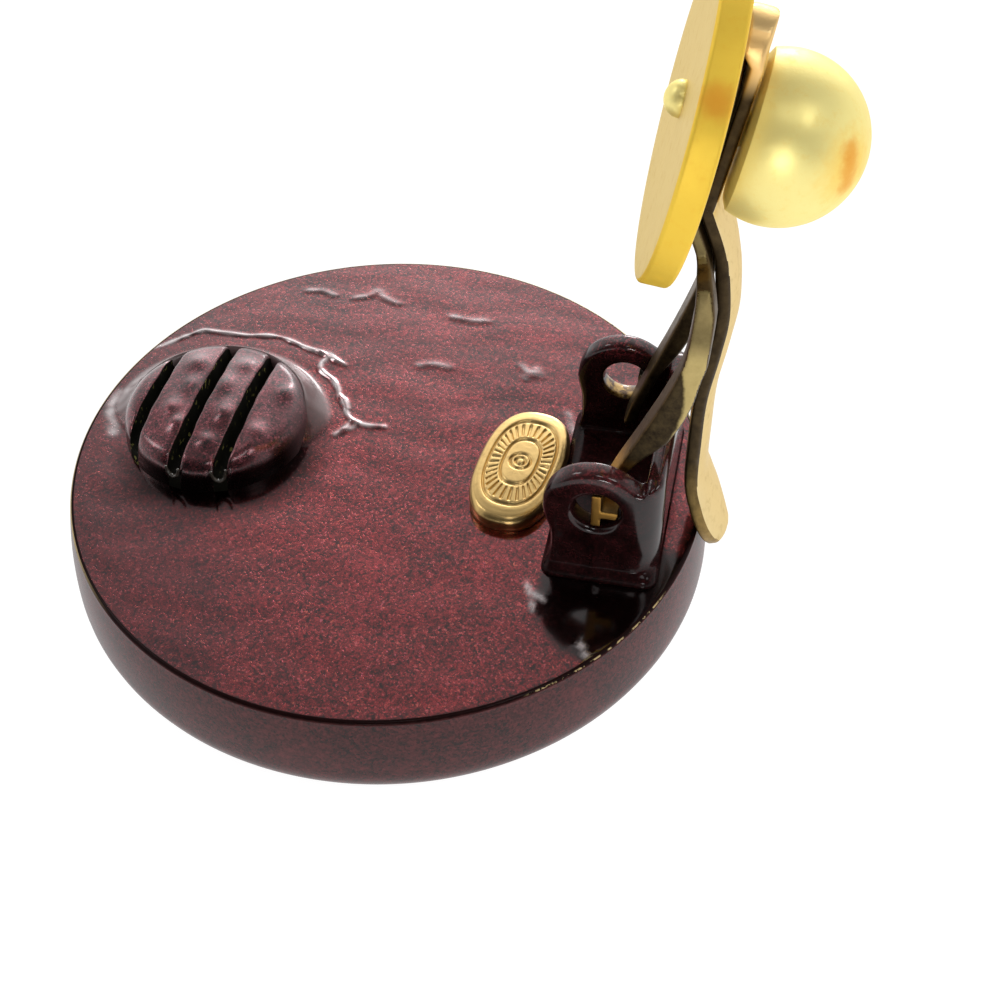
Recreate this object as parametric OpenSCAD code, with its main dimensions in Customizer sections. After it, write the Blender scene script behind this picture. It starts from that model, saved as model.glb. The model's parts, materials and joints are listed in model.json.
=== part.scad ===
// Clip-on button earring, lying on its front face with its clip standing open.
// Origin: centre of the front face. +Z points out of the back, +X towards the clip's hinge.
// All sizes are in millimetres.

/* [Button] */
// Diameter of the lacquered back face
button_d = 26; // [24:0.1:32]
// Swell of the rim beyond the back face, all round
rim_swell = 0.3; // [0:0.05:0.5]
// Thickness of the button, front face to back face
button_t = 4.7; // [3.5:0.1:7]
// Rounding of the edge of the front face
front_round = 1.7; // [0.5:0.05:2.5]
// Rounding of the edge of the back face
back_round = 0.25; // [0.1:0.05:0.6]

/* [Slotted pad] */
// Diameter of the domed pad that the ear lobe rests on
pad_d = 7.6; // [6:0.1:9]
// Height of the pad over the back face
pad_h = 1.7; // [1.5:0.1:3]
// Height of the pad's upright side
pad_side_h = 1.2; // [0.8:0.1:1.4]
// Distance of the pad's centre from the button's centre, away from the hinge
pad_off = 7.6; // [6.5:0.1:7.8]
// Distance of the pad's centre from the button's middle line, towards the far ear
pad_shift = 0.9; // [0:0.1:1.2]
// Width of a groove
groove_w = 0.55; // [0.3:0.05:0.8]
// Distance of the outer groove from the pad's middle
groove_outer = -2.6; // [-2.6:0.05:-1.2]
// Distance of the middle groove from the pad's middle
groove_middle = -0.44; // [-0.5:0.01:0.5]
// Distance of the inner groove from the pad's middle
groove_inner = 1.45; // [1.2:0.05:2.4]
// Turn of the grooves from the line of the hinge
groove_turn = -3; // [-20:1:20]
// Height of a groove's round floor over the back face
groove_floor = 0.5; // [0.3:0.1:0.7]
// Width of the lacquer that has pooled round the foot of the pad
pool_w = 1; // [0.3:0.1:1.2]
// Height to which that lacquer has crept up the pad's side
pool_h = 0.5; // [0.3:0.1:1]

/* [Plaque] */
// Length of the plaque, along the hinge
plaque_l = 6.7; // [5:0.1:7]
// Width of the plaque
plaque_w = 3.6; // [3:0.1:3.8]
// Thickness of the plaque
plaque_t = 0.75; // [0.4:0.05:1]
// Radius of the plaque's corners
plaque_corner = 1.6; // [0.8:0.1:1.7]
// Distance of the plaque's centre from the button's centre, towards the hinge
plaque_off = 5.4; // [5.2:0.05:5.4]

/* [Hinge bracket] */
// Distance of the hinge axis from the button's centre
hinge_x = 9.25; // [9:0.05:9.5]
// Height of the hinge axis over the back face
hinge_h = 3.4; // [3.2:0.05:3.6]
// Radius of the round end of an ear
ear_r = 1.95; // [1.5:0.05:2]
// Distance of the round end's centre from the hinge axis, away from the clip
ear_shift = 0.1; // [0:0.05:0.2]
// Thickness of an ear
ear_t = 0.9; // [0.6:0.05:1]
// Clear width between the two ears
ear_gap = 6.5; // [6.4:0.1:7]
// Radius of the hole in an ear
ear_hole_r = 0.88; // [0.6:0.02:0.95]
// Distance of the back wall's outer face from the hinge axis
wall_x = 2.5; // [2.4:0.05:2.55]
// Thickness of the back wall
wall_t = 0.8; // [0.5:0.05:0.9]
// Height of the back wall over the back face
wall_h = 5.05; // [4.6:0.05:5.1]
// Distance of the foot's front edge from the hinge axis
foot_front = 2; // [1.8:0.05:2]
// Width of the foot along the hinge
foot_l = 9.2; // [8.6:0.1:10]
// Thickness of the foot
foot_t = 0.5; // [0.3:0.05:0.8]

/* [Clip] */
// Thickness of the clip's frame at its head
frame_t = 0.45; // [0.3:0.05:0.5]
// Thickness of the spring tongue
tongue_t = 0.55; // [0.35:0.05:0.6]
// Width of an arm of the frame
arm_w = 1.2; // [0.8:0.1:1.3]
// Width over the two arms
arms_w = 6.2; // [5.6:0.1:6.3]
// Sideways skew of the two arms, near and far
arm_skew = 0.2; // [0:0.05:0.25]
// Width of the tongue at its neck
tongue_w = 2.6; // [2:0.1:3]
// Width of the tongue's flared heel
heel_w = 3.6; // [3:0.1:5]
// Radius of the part of a pivot lug that bears in its hole
lug_r = 0.82; // [0.5:0.02:0.85]

/* [Head] */
// Diameter of the round plate that grips the ear lobe
plate_d = 11.2; // [8:0.1:12]
// Thickness of the plate
plate_t = 1.05; // [0.8:0.05:1.5]
// Distance of the plate's centre from the button's centre, clip open
plate_x = 11.25; // [11:0.05:11.5]
// Height of the plate's centre over the back face, clip open
plate_h = 18.6; // [18:0.1:19.5]
// Outward lean of the head, clip open
head_lean = 11; // [8:0.5:12]
// Sideways turn of the plate and ball on the rivet
head_turn = 2.5; // [0:0.5:4]
// Diameter of the ball
ball_d = 5.8; // [4:0.1:6.4]
// Distance of the ball's centre from the leaf that it sits on
ball_rise = 1.2; // [1:0.1:2]
// Diameter of the rivet shank
rivet_d = 1.2; // [1:0.1:1.4]

/* [Hidden] */
$fn = 96;
burgundy = "#5a2230";
lacquer_dark = "#2b0d13";
gold = "#e0b545";
pale_gold = "#e6cf8a";
worn_brass = "#8a6f3a";
button_r = button_d / 2;
rim_r = button_r + rim_swell;
back_z = button_t;
// Distance kept between the two leaves, and round the rivet's shank
leaf_gap = 0.03;
// Distance that the turned plate and ball keep from the leaves
turn_gap = 0.1;
// Radius of the pad's crown, from its height over the upright side
crown_h = pad_h - pad_side_h;
crown_r = (pow(pad_d / 2, 2) + pow(crown_h, 2)) / (2 * crown_h);
ear_out = ear_gap / 2 + ear_t;
wall_out = hinge_x + wall_x;
wall_in = wall_out - wall_t;
bend_r = 1.0;
wall_round = 0.38;
foot_lip = 0.1;
arm_in = arms_w / 2 - arm_w;
strap_w = 3.2;
window_h = 10.2;
// Stations up an arm: height over the back face, inner edge, outer edge, share of the skew
ARM = [[2.3, 9.2, 9.72, 1], [3.4, 9.48, 10.1, 1], [4.4, 9.83, 10.48, 1], [5.15, 10.1, 10.72, 0.8],
       [6.5, 10.62, 11.5, 0.6], [8.2, 11.24, 12.02, 0.3], [9.75, 11.66, 12.26, 0.1], [10.8, 11.92, 12.42, 0]];
// Stations up the tongue's middle line: height over the back face, distance from the button's centre
TONGUE = [[-0.75, 13.62], [0.35, 13.2], [1.5, 12.8], [2.7, 12.5], [4.75, 12.47], [7.15, 12.52],
          [9.45, 12.82], [11.3, 12.98]];
// Where the middle lines of frame and tongue leave the head, below the plate's centre
LEAVE = -2.8;
// Where the frame and the tongue end, above the plate's centre
FRAME_TOP = 2.9;
TONGUE_TOP = 4.4;
// Outline of the tongue: height over the back face, half of its width
TONGUE_SIDE = [[-1.2, 0.38], [-0.75, 0.8], [-0.2, 0.96], [0.6, 1], [1.6, 0.93], [2.8, 0.78], [4, 0.72]];

// Directions and places in the head's own frame: s runs up the plate, d outwards through it
function head(s, d) = [plate_x + s * sin(head_lean) + d * cos(head_lean),
                       plate_h + s * cos(head_lean) - d * sin(head_lean)];
// Point at share t between p[1] and p[2] of a smooth curve through four points
function curve(p, t) = 0.5 * (2 * p[1] + (p[2] - p[0]) * t + (2 * p[0] - 5 * p[1] + 4 * p[2] - p[3]) * t * t
                       + (3 * p[1] - p[0] - 3 * p[2] + p[3]) * t * t * t);
function at(p, i) = p[min(max(i, 0), len(p) - 1)];
function smooth(p, n) = [for (i = [0 : len(p) - 2], j = [0 : n - 1])
    curve([at(p, i - 1), p[i], p[i + 1], at(p, i + 2)], j / n), p[len(p) - 1]];
function along(p, i) = let (v = at(p, i + 1) - at(p, i - 1)) v / norm(v);
function beside(p, off) = [for (i = [0 : len(p) - 1]) let (v = along(p, i)) p[i] + off * [v[1], -v[0]]];
function back(p) = [for (i = [len(p) - 1 : -1 : 0]) p[i]];
function rest(p) = [for (i = [1 : len(p) - 1]) p[i]];

frame_d = plate_t / 2 + turn_gap + frame_t / 2;
tongue_d = frame_d + frame_t / 2 + leaf_gap + tongue_t / 2;
ball_base = tongue_d + tongue_t / 2 + turn_gap;
frame_low = [for (a = ARM) if (a[0] > 8) [(a[1] + a[2]) / 2, a[0]]];
frame_joint = [12.26, 13.4];
// Length that the leaves' side view runs on past their round ends
over = 0.5;
frame_path = concat(smooth(concat(frame_low, [frame_joint, head(LEAVE, frame_d)]), 5),
                    [head(FRAME_TOP + over, frame_d)]);
tongue_low = [for (s = TONGUE) [s[1], s[0]]];
// From the joint upwards the tongue lies flat on the frame
tongue_high = [for (p = beside(frame_path, tongue_d - frame_d)) if (p[1] >= frame_joint[1] - 0.2) p];
tongue_path = concat(smooth(concat(tongue_low, [tongue_high[0]]), 5), rest(tongue_high),
                     [head(TONGUE_TOP + over, tongue_d)]);
// Centres of the round ends of the two leaves, seen from the front
strap_end = head(FRAME_TOP, frame_d)[1] - strap_w / 2;
tongue_end = head(TONGUE_TOP, tongue_d)[1] - tongue_w / 2;

// A flat outline of x and height, given the width w across the hinge
module side_cut(w) {
    translate([0, 0, back_z]) rotate([90, 0, 0]) linear_extrude(height = w, center = true) children();
}

// A flat outline of y and height, carried through everything along x
module front_cut() {
    translate([0, 0, back_z]) rotate([90, 0, 90]) linear_extrude(height = 30) children();
}

// Puts a child in the head's frame: its +Z runs outwards through the middle of the plate
module head_place() {
    translate([plate_x, 0, plate_h + back_z]) rotate([0, 0, head_turn]) rotate([0, 90 + head_lean, 0]) children();
}

// A cylinder across the head, between two distances from the plate's middle
module head_rod(r, d0, d1) {
    head_place() translate([0, 0, d0]) cylinder(h = d1 - d0, r = r);
}

module rounded_box(l, w, h, r) {
    linear_extrude(height = h) {
        square([l - 2 * r, w], center = true);
        square([l, w - 2 * r], center = true);
        for (x = [-1, 1], y = [-1, 1])
            translate([x * (l / 2 - r), y * (w / 2 - r)]) circle(r = r);
    }
}

module button_disc() {
    color(burgundy) rotate_extrude() intersection() {
        square([rim_r, button_t]);
        union() {
            square([rim_r - front_round, front_round]);
            translate([0, front_round]) polygon([[0, 0], [rim_r, 0], [button_r, button_t - front_round - back_round],
                                                 [0, button_t - front_round - back_round]]);
            square([button_r - back_round, button_t]);
            translate([rim_r - front_round, front_round]) circle(r = front_round);
            translate([button_r - back_round, button_t - back_round]) circle(r = back_round);
        }
    }
}

module slotted_pad() {
    color(burgundy) translate([-pad_off, pad_shift, back_z]) difference() {
        union() {
            rotate_extrude() intersection() {
                square([pad_d / 2, pad_h]);
                translate([0, pad_h - crown_r]) circle(r = crown_r);
            }
            // The pooled lacquer never runs past the flat of the back face
            intersection() {
                cylinder(h = pool_h, r1 = pad_d / 2 + pool_w, r2 = pad_d / 2);
                translate([pad_off, -pad_shift, 0]) cylinder(h = pool_h, r = button_r - back_round);
            }
        }
        for (x = [groove_outer, groove_middle, groove_inner])
            rotate([0, 0, groove_turn]) translate([x, 0, groove_floor]) {
            translate([-groove_w / 2, -pad_d, groove_w / 2]) cube([groove_w, 2 * pad_d, pad_h]);
            translate([0, pad_d, groove_w / 2]) rotate([90, 0, 0]) cylinder(h = 2 * pad_d, r = groove_w / 2);
        }
    }
}

module plaque() {
    rim = 0.4;
    sunk = 0.12;
    shoulder = 0.22;
    color(gold) translate([plaque_off, 0, back_z]) difference() {
        union() {
            rounded_box(plaque_w, plaque_l, plaque_t - shoulder, plaque_corner);
            rounded_box(plaque_w - shoulder, plaque_l - shoulder, plaque_t, plaque_corner - shoulder / 2);
        }
        translate([0, 0, plaque_t - sunk])
            rounded_box(plaque_w - 2 * rim, plaque_l - 2 * rim, 1, plaque_corner - rim);
    }
}

// Side view of the bracket: two round ears that run into a back wall
module bracket_side() {
    waist = 1.6;
    dip_h = 4.6;
    translate([hinge_x - ear_shift, hinge_h]) circle(r = ear_r);
    translate([hinge_x - waist, 0]) square([waist + wall_x, hinge_h]);
    translate([hinge_x, 0]) square([wall_x, dip_h]);
    translate([wall_in, 0]) square([wall_t, wall_h - wall_round]);
    translate([wall_in + wall_round, 0]) square([wall_t - 2 * wall_round, wall_h]);
    for (x = [wall_in + wall_round, wall_out - wall_round])
        translate([x, wall_h - wall_round]) circle(r = wall_round);
}

// Plan of the bracket: a channel, open towards the button's centre
module bracket_plan() {
    inner = ear_gap / 2;
    difference() {
        union() {
            translate([0, -ear_out]) square([wall_out - bend_r, 2 * ear_out]);
            translate([0, -ear_out + bend_r]) square([wall_out, 2 * (ear_out - bend_r)]);
            for (y = [-1, 1]) translate([wall_out - bend_r, y * (ear_out - bend_r)]) circle(r = bend_r);
        }
        translate([-1, -inner]) square([wall_in + 1, 2 * inner]);
    }
}

module hinge_bracket() {
    color(lacquer_dark) difference() {
        union() {
            intersection() {
                side_cut(3 * ear_out) bracket_side();
                translate([0, 0, back_z]) linear_extrude(height = 2 * wall_h) bracket_plan();
            }
            translate([hinge_x + (wall_x - foot_front) / 2, 0, back_z])
                rounded_box(wall_x + foot_front, foot_l, foot_t, foot_lip);
        }
        translate([hinge_x, 0, back_z + hinge_h]) rotate([90, 0, 0])
            cylinder(h = 3 * ear_out, r = ear_hole_r, center = true);
    }
}

// One arm, side is -1 near and 1 far; its skew grows towards the pivot
module arm(side) {
    inner = [for (a = ARM) [a[1] + side * arm_skew * a[3], a[0]]];
    outer = [for (a = ARM) [a[2] + side * arm_skew * a[3], a[0]]];
    translate([0, side * (arms_w - arm_w) / 2, 0])
        side_cut(arm_w) polygon(concat(smooth(inner, 3), back(smooth(outer, 3))));
}

// The bent tab that turns in an ear's hole: its outer edges lie on the lug's radius
module lug(side) {
    from = arms_w / 2 - 0.1;
    to = ear_out - 0.12;
    web = 0.36;
    web_off = 0.2;
    far_off = 0.52;
    intersection() {
        translate([hinge_x, side * from, back_z + hinge_h]) rotate([side > 0 ? -90 : 90, 0, 0])
            cylinder(h = to - from, r = lug_r);
        if (side > 0) {
            translate([hinge_x + far_off, from - 1, back_z]) cube([2, to, 2 * hinge_h]);
        } else {
            union() {
                translate([hinge_x - web_off, -to - 1, back_z]) cube([web, to, 2 * hinge_h]);
                translate([hinge_x, -to - 1, back_z + hinge_h - web]) cube([2, to, web]);
            }
        }
    }
}

module clip_frame() {
    half = strap_w / 2;
    step = (arms_w - strap_w) / 2;
    taper = 3;
    right = concat([[arms_w / 2, window_h]],
        [for (a = [0 : 15 : 90]) [half + step * cos(a), window_h + step / 2 + taper * sin(a)]]);
    color(worn_brass) difference() {
        union() {
            intersection() {
                side_cut(arms_w) polygon(concat(beside(frame_path, -frame_t / 2),
                                                back(beside(frame_path, frame_t / 2))));
                front_cut() polygon(concat(right,
                    [for (a = [0 : 15 : 180]) [half * cos(a), strap_end + half * sin(a)]],
                    [for (p = back(right)) [-p[0], p[1]]]));
            }
            for (side = [-1, 1]) {
                arm(side);
                lug(side);
            }
        }
        head_rod(rivet_d / 2 + leaf_gap, 0, 3);
    }
}

module spring_tongue() {
    half = heel_w / 2;
    neck = tongue_w / 2;
    right = [for (p = smooth(TONGUE_SIDE, 4)) [half * p[1], p[0]]];
    color(pale_gold) difference() {
        intersection() {
            side_cut(heel_w) polygon(concat(beside(tongue_path, -tongue_t / 2),
                                            back(beside(tongue_path, tongue_t / 2))));
            front_cut() polygon(concat(right,
                [for (a = [0 : 15 : 180]) [neck * cos(a), tongue_end + neck * sin(a)]],
                [for (p = back(right)) [-p[0], p[1]]]));
        }
        head_rod(rivet_d / 2 + leaf_gap, 0, 3);
    }
}

module pad_plate() {
    edge = 0.15;
    color(gold) difference() {
        union() {
            head_rod(plate_d / 2, -plate_t / 2 + edge, plate_t / 2 - edge);
            head_rod(plate_d / 2 - edge, -plate_t / 2, plate_t / 2);
        }
        head_rod(rivet_d / 2 + leaf_gap, -plate_t, plate_t);
    }
}

module ball_stud() {
    rivet_head_r = 0.85;
    rivet_head_t = 0.25;
    color(gold) {
        intersection() {
            head_place() translate([0, 0, ball_base + ball_rise]) sphere(d = ball_d);
            head_rod(ball_d, ball_base, ball_base + ball_d + 1);
        }
        head_rod(rivet_d / 2, -plate_t / 2 - rivet_head_t, ball_base + ball_rise);
        head_rod(rivet_head_r, -plate_t / 2 - leaf_gap - rivet_head_t, -plate_t / 2 - leaf_gap);
    }
}

button_disc();
slotted_pad();
plaque();
hinge_bracket();
clip_frame();
spring_tongue();
pad_plate();
ball_stud();
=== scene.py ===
import json
import math

import bpy
import numpy as np
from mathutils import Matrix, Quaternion, Vector


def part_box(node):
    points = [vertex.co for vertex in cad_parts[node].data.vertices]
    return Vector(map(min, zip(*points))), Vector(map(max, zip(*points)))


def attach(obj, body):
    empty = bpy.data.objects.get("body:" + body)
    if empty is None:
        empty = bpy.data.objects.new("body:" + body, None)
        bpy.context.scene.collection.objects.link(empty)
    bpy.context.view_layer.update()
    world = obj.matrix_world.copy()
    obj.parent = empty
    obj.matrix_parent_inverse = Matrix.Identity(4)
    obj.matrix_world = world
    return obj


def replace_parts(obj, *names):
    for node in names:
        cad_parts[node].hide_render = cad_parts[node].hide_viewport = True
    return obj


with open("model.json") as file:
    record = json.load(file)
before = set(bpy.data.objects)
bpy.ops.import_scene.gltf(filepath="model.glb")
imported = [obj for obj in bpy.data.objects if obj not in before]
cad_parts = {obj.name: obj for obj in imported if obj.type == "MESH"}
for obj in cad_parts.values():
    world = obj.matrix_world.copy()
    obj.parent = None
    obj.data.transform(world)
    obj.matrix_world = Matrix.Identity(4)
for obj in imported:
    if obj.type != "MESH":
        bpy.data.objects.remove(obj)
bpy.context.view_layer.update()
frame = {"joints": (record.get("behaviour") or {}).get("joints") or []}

# Places and sizes below are in millimetres, in the object's frame, and are multiplied by MM at the end.
MM = 0.001

# Driving places, from the frame
disc_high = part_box("button_disc")[1]
BACK = disc_high.z / MM
RIM_R = disc_high.x / MM
BACK_R = 13.0
FRONT_ROUND = 1.7
EDGE = 0.16
pad_low, pad_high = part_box("slotted_pad")
PAD_H = pad_high.z / MM - BACK
PAD_X = (pad_low.x + pad_high.x) / 2 / MM
PAD_Y = (pad_low.y + pad_high.y) / 2 / MM
PAD_AT = (PAD_X, PAD_Y)
PAD_R = 3.8
PAD_SIDE = 1.2
hinge = frame["joints"][0]["pos_m"]
HINGE_X = hinge[0] / MM
HINGE_Z = hinge[2] / MM
FOOT_IN, WALL_OUT = (corner.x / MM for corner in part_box("hinge_bracket"))

# The clip's head
HEAD_X = 11.25
HEAD_Z = BACK + 18.6
LEAN = math.radians(11)
TURN = math.radians(4)
BALL_TURN = math.radians(-1.5)
PLATE_R = 5.6
PLATE_T = 1.05
FRAME_T = 0.45
TONGUE_T = 0.55
FRAME_D = PLATE_T / 2 + 0.1 + FRAME_T / 2
TONGUE_D = FRAME_D + FRAME_T / 2 + 0.03 + TONGUE_T / 2
BALL_R = 2.9
FLAT = 1.2
BALL_D = TONGUE_D + TONGUE_T / 2 + 0.1 + FLAT


# Meshes

def faces_of_rings(m, n):
    """Quads between m rings of n points each, every ring closed on itself."""
    i, j = np.meshgrid(np.arange(m - 1), np.arange(n), indexing="ij")
    k = (j + 1) % n
    return np.stack([i * n + j, i * n + k, (i + 1) * n + k, (i + 1) * n + j], -1).reshape(-1, 4)


def closed_rings(rings):
    """A closed skin: rings of points in order, and a middle point for the first and for the last."""
    rings = np.asarray(rings, float)
    m, n = rings.shape[:2]
    points = np.concatenate([rings.reshape(-1, 3), rings[0].mean(0)[None], rings[-1].mean(0)[None]])
    j = np.arange(n)
    k = (j + 1) % n
    first = np.stack([np.full(n, m * n), k, j], -1)
    last = np.stack([np.full(n, m * n + 1), (m - 1) * n + j, (m - 1) * n + k], -1)
    return outward(points, [faces_of_rings(m, n), first, last])


def torus_rings(rings):
    """A closed skin whose last ring joins its first, such as a plate round a hole."""
    m, n = rings.shape[:2]
    return outward(rings.reshape(-1, 3), [faces_of_rings(m + 1, n) % (m * n)])


def outward(points, groups):
    """Turns all faces round if the volume that they enclose, summed from triangles, is negative."""
    volume = 0
    for faces in groups:
        for k in range(2, faces.shape[1]):
            a, b, c = points[faces[:, 0]], points[faces[:, k - 1]], points[faces[:, k]]
            volume += np.einsum("ij,ij->i", a, np.cross(b, c)).sum()
    return points, [faces[:, ::-1] for faces in groups] if volume < 0 else groups


def mesh_of(name, points, groups, scale=MM):
    """A smooth mesh from points in millimetres and groups of faces."""
    mesh = bpy.data.meshes.new(name)
    faces = [face for group in groups for face in group.tolist()]
    mesh.from_pydata((points * scale).tolist(), [], faces)
    mesh.polygons.foreach_set("use_smooth", np.ones(len(faces), bool))
    mesh.update()
    return mesh


def placed(name, data):
    """An object in the scene from its mesh, lamp or camera."""
    obj = bpy.data.objects.new(name, data)
    bpy.context.scene.collection.objects.link(obj)
    return obj


def aimed(name, data, stand, aim, roll=0.0):
    """A lamp or camera that stands at a place and faces another, turned by roll about its line of sight."""
    obj = placed(name, data)
    obj.location = stand
    obj.rotation_euler = ((stand - aim).to_track_quat("Z", "Y") @ Quaternion((0, 0, 1), roll)).to_euler()
    return obj


def piece(name, skin, body, finishes, sharp=None):
    """An object on a CAD body, with its materials. Edges past the angle sharp, in degrees, stay crisp."""
    obj = placed(name, skin if isinstance(skin, bpy.types.Mesh) else mesh_of(name, *skin))
    for finish in finishes:
        obj.data.materials.append(finish)
    if sharp:
        obj.data.set_sharp_from_angle(angle=math.radians(sharp))
    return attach(obj, body)


def fused(name, skins, voxel, rounds):
    """Closed skins melted into one by a voxel remesh, then smoothed; in millimetres until the end."""
    starts = np.cumsum([0] + [len(points) for points, _ in skins])
    groups = [group + start for start, (_, skin) in zip(starts, skins) for group in skin]
    points = np.concatenate([points for points, _ in skins])
    raw = placed(name + "_raw", mesh_of(name + "_raw", points, groups, 1))
    melt = raw.modifiers.new("melt", "REMESH")
    melt.mode, melt.voxel_size = "VOXEL", voxel
    soft = raw.modifiers.new("soft", "SMOOTH")
    soft.factor, soft.iterations = 0.5, rounds
    done = bpy.data.meshes.new_from_object(raw.evaluated_get(bpy.context.evaluated_depsgraph_get()))
    bpy.data.objects.remove(raw)
    co = np.zeros(len(done.vertices) * 3)
    done.vertices.foreach_get("co", co)
    done.vertices.foreach_set("co", co * MM)
    done.polygons.foreach_set("use_smooth", np.ones(len(done.polygons), bool))
    done.name = name
    done.update()
    return done


def paint(obj, kinds):
    """Gives each face the material of its number."""
    obj.data.polygons.foreach_set("material_index", kinds.astype(np.int32))
    return obj


def paint_rows(obj, kinds, n):
    """The same with a number for each row of n faces. The fans at both ends follow the rows next to them."""
    return paint(obj, np.repeat(np.concatenate([kinds, kinds[:1], kinds[-1:]]), n))


# Shapes that several pieces share

def smooth_step(low, high, x):
    """0 at low, 1 at high, and between them three times the share's square less twice its cube."""
    t = np.clip((np.asarray(x, float) - low) / (high - low), 0, 1)
    return t * t * (3 - 2 * t)


def circle(n, first=0.0):
    """The angles of n points round a circle."""
    return (np.arange(n) + first) * 2 * np.pi / n


def bell(x, at, width):
    """1 at a place, and off it e to minus the square of the distance over the width."""
    return np.exp(-((x - at) / width) ** 2)


def rounding(r, clear):
    """How far an edge of radius r has fallen at a distance from the side that it meets."""
    return r - math.sqrt(max(r * r - max(r - clear, 0) ** 2, 0))


def unit(vectors):
    """Vectors in rows, each made 1 long."""
    return vectors / np.linalg.norm(vectors, axis=1)[:, None]


def spun(x, y, angle, middle):
    """Points turned by an angle about the origin, then moved to a middle."""
    c, s = math.cos(angle), math.sin(angle)
    return middle[0] + x * c - y * s, middle[1] + x * s + y * c


def bend(points, n):
    """A smooth curve through the points: from each to the next the cubic of both and their neighbours."""
    p = np.asarray(points, float)
    q = np.concatenate([2 * p[:1] - p[1:2], p, 2 * p[-1:] - p[-2:-1]])
    t = (np.arange(n) / n)[None, :, None]
    a, b, c, d = (q[i:len(q) - 3 + i][:, None] for i in range(4))
    square, cube = 2 * a - 5 * b + 4 * c - d, 3 * b - a - 3 * c + d
    curve = 0.5 * (2 * b + (c - a) * t + square * t ** 2 + cube * t ** 3)
    return np.concatenate([curve.reshape(-1, p.shape[1]), p[-1:]])


def round_box_ring(n, power, first=0.0):
    """Points round a square with soft corners: a circle's cosine and sine, each to 2 / power."""
    c, s = np.cos(circle(n, first)), np.sin(circle(n, first))
    return np.sign(c) * np.abs(c) ** (2 / power), np.sign(s) * np.abs(s) ** (2 / power)


def square_to(line):
    """The direction square to a line of x and z at each of its points."""
    way = unit(np.gradient(line, axis=0))
    return np.stack([way[:, 1], -way[:, 0]], -1)


def head_line(u, w):
    """A point of the clip's middle plane, u up the plate and w outwards, as x and z."""
    return [HEAD_X + u * math.sin(LEAN) + w * math.cos(LEAN),
            HEAD_Z + u * math.cos(LEAN) - w * math.sin(LEAN)]


def to_head(u, v, w, swing=TURN):
    """Points given across the plate, u up it, v along the hinge and w outwards, turned by swing."""
    x, z = head_line(u, w)
    return np.stack([*spun(x - HEAD_X, v, swing, (HEAD_X, 0)), z], -1)


def turned(profile, n, place):
    """A profile of radius and height turned about an axis, its points placed by a function."""
    a = circle(n)
    r, h = np.asarray(profile, float).T[:, :, None]
    return closed_rings(place(r * np.cos(a), r * np.sin(a), h + 0 * a))


# The button

AROUND = 480

# Lines on the lacquered back, as points of x and y: the raised edge of the lacquer that has run round the
# pad, with its branches, scuffs far off and by the plaque, a pale band left of the pad, which is a painted
# sheen, and drips
RUN_EDGE = [[-12.0, 4.8], [-11.5, 5.3], [-10.8, 5.9], [-10.1, 6.45], [-9.5, 6.5], [-8.4, 6.5], [-6.7, 6.7],
            [-6.0, 6.5], [-5.3, 6.25], [-4.7, 6.1], [-4.2, 5.85], [-4.35, 5.4], [-4.3, 5.05], [-4.05, 4.8],
            [-3.6, 4.5], [-3.25, 4.05], [-3.05, 3.6], [-2.7, 3.05], [-2.4, 2.5], [-2.1, 2.2], [-1.6, 2.05],
            [-0.7, 2.1]]
RUN_BRANCHES = [[[-4.5, 6.0], [-3.9, 5.75], [-3.35, 5.5]], [[-2.15, 2.15], [-2.3, 1.65], [-2.6, 1.25]],
                [[-4.6, 6.1], [-4.1, 6.0], [-3.8, 5.7]], [[-1.9, 2.1], [-2.0, 1.8], [-2.3, 1.6]],
                [[-3.0, 3.5], [-2.7, 3.3], [-2.5, 2.9]]]
SCUFFS = [[[-6.2, 10.0], [-5.6, 10.1], [-5.0, 9.9]],
          [[-4.0, 9.9], [-3.4, 10.2], [-3.1, 10.6], [-2.7, 10.2], [-2.0, 9.9]],
          [[0.6, 9.5], [1.4, 9.4], [2.2, 9.5]], [[-0.1, 6.1], [0.6, 6.3], [1.2, 6.2]],
          [[4.3, 6.9], [4.7, 6.5], [5.2, 6.5]], [[4.6, 6.2], [5.0, 6.8]],
          [[6.8, 4.3], [7.0, 3.7], [7.35, 3.0]], [[7.5, 3.4], [7.8, 2.7]]]
LEFT_PAINTED_SHEEN = [[-12.45, 1.9], [-12.45, 1.1], [-12.2, 0.4], [-11.85, -0.3]]
DRIPS = [[[6.8, -5.2], [7.15, -5.9], [7.3, -6.5]], [[7.2, -5.7], [7.6, -5.9]],
         [[9.3, -7.6], [9.55, -8.0], [9.8, -8.45]]]


def near_line(x, y, line, width):
    """1 on a line of points and 0 away from it: a bell over the distance to the nearest of its stretches."""
    fine = bend(line, 6)
    low, high = fine.min(0) - 1, fine.max(0) + 1
    close = (x > low[0]) & (x < high[0]) & (y > low[1]) & (y < high[1])
    px, py = x[close], y[close]
    d = np.full(px.shape, 9.0)
    for (ax, ay), (bx, by) in zip(fine, fine[1:]):
        wx, wy = bx - ax, by - ay
        t = np.clip(((px - ax) * wx + (py - ay) * wy) / max(wx ** 2 + wy ** 2, 1e-9), 0, 1)
        d = np.minimum(d, np.hypot(px - ax - t * wx, py - ay - t * wy))
    nearest = np.full(np.shape(x), 9.0)
    nearest[close] = d
    return bell(nearest, 0, width)


def creep(x, y):
    """Lacquer that has crept up the pad: distance and direction from the pad's middle, the share of the full
    creep, nothing in front and full on the far side, and how far out it reaches."""
    off = np.hypot(x - PAD_X, y - PAD_Y)
    turn = np.arctan2(y - PAD_Y, x - PAD_X)
    share = smooth_step(-0.25, 0.30, np.cos(turn - math.radians(92)))
    reach = 0.25 + 0.85 * share + 0.2 * smooth_step(0.2, 0.9, np.cos(turn - math.radians(150)))
    return off, turn, share, reach


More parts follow.
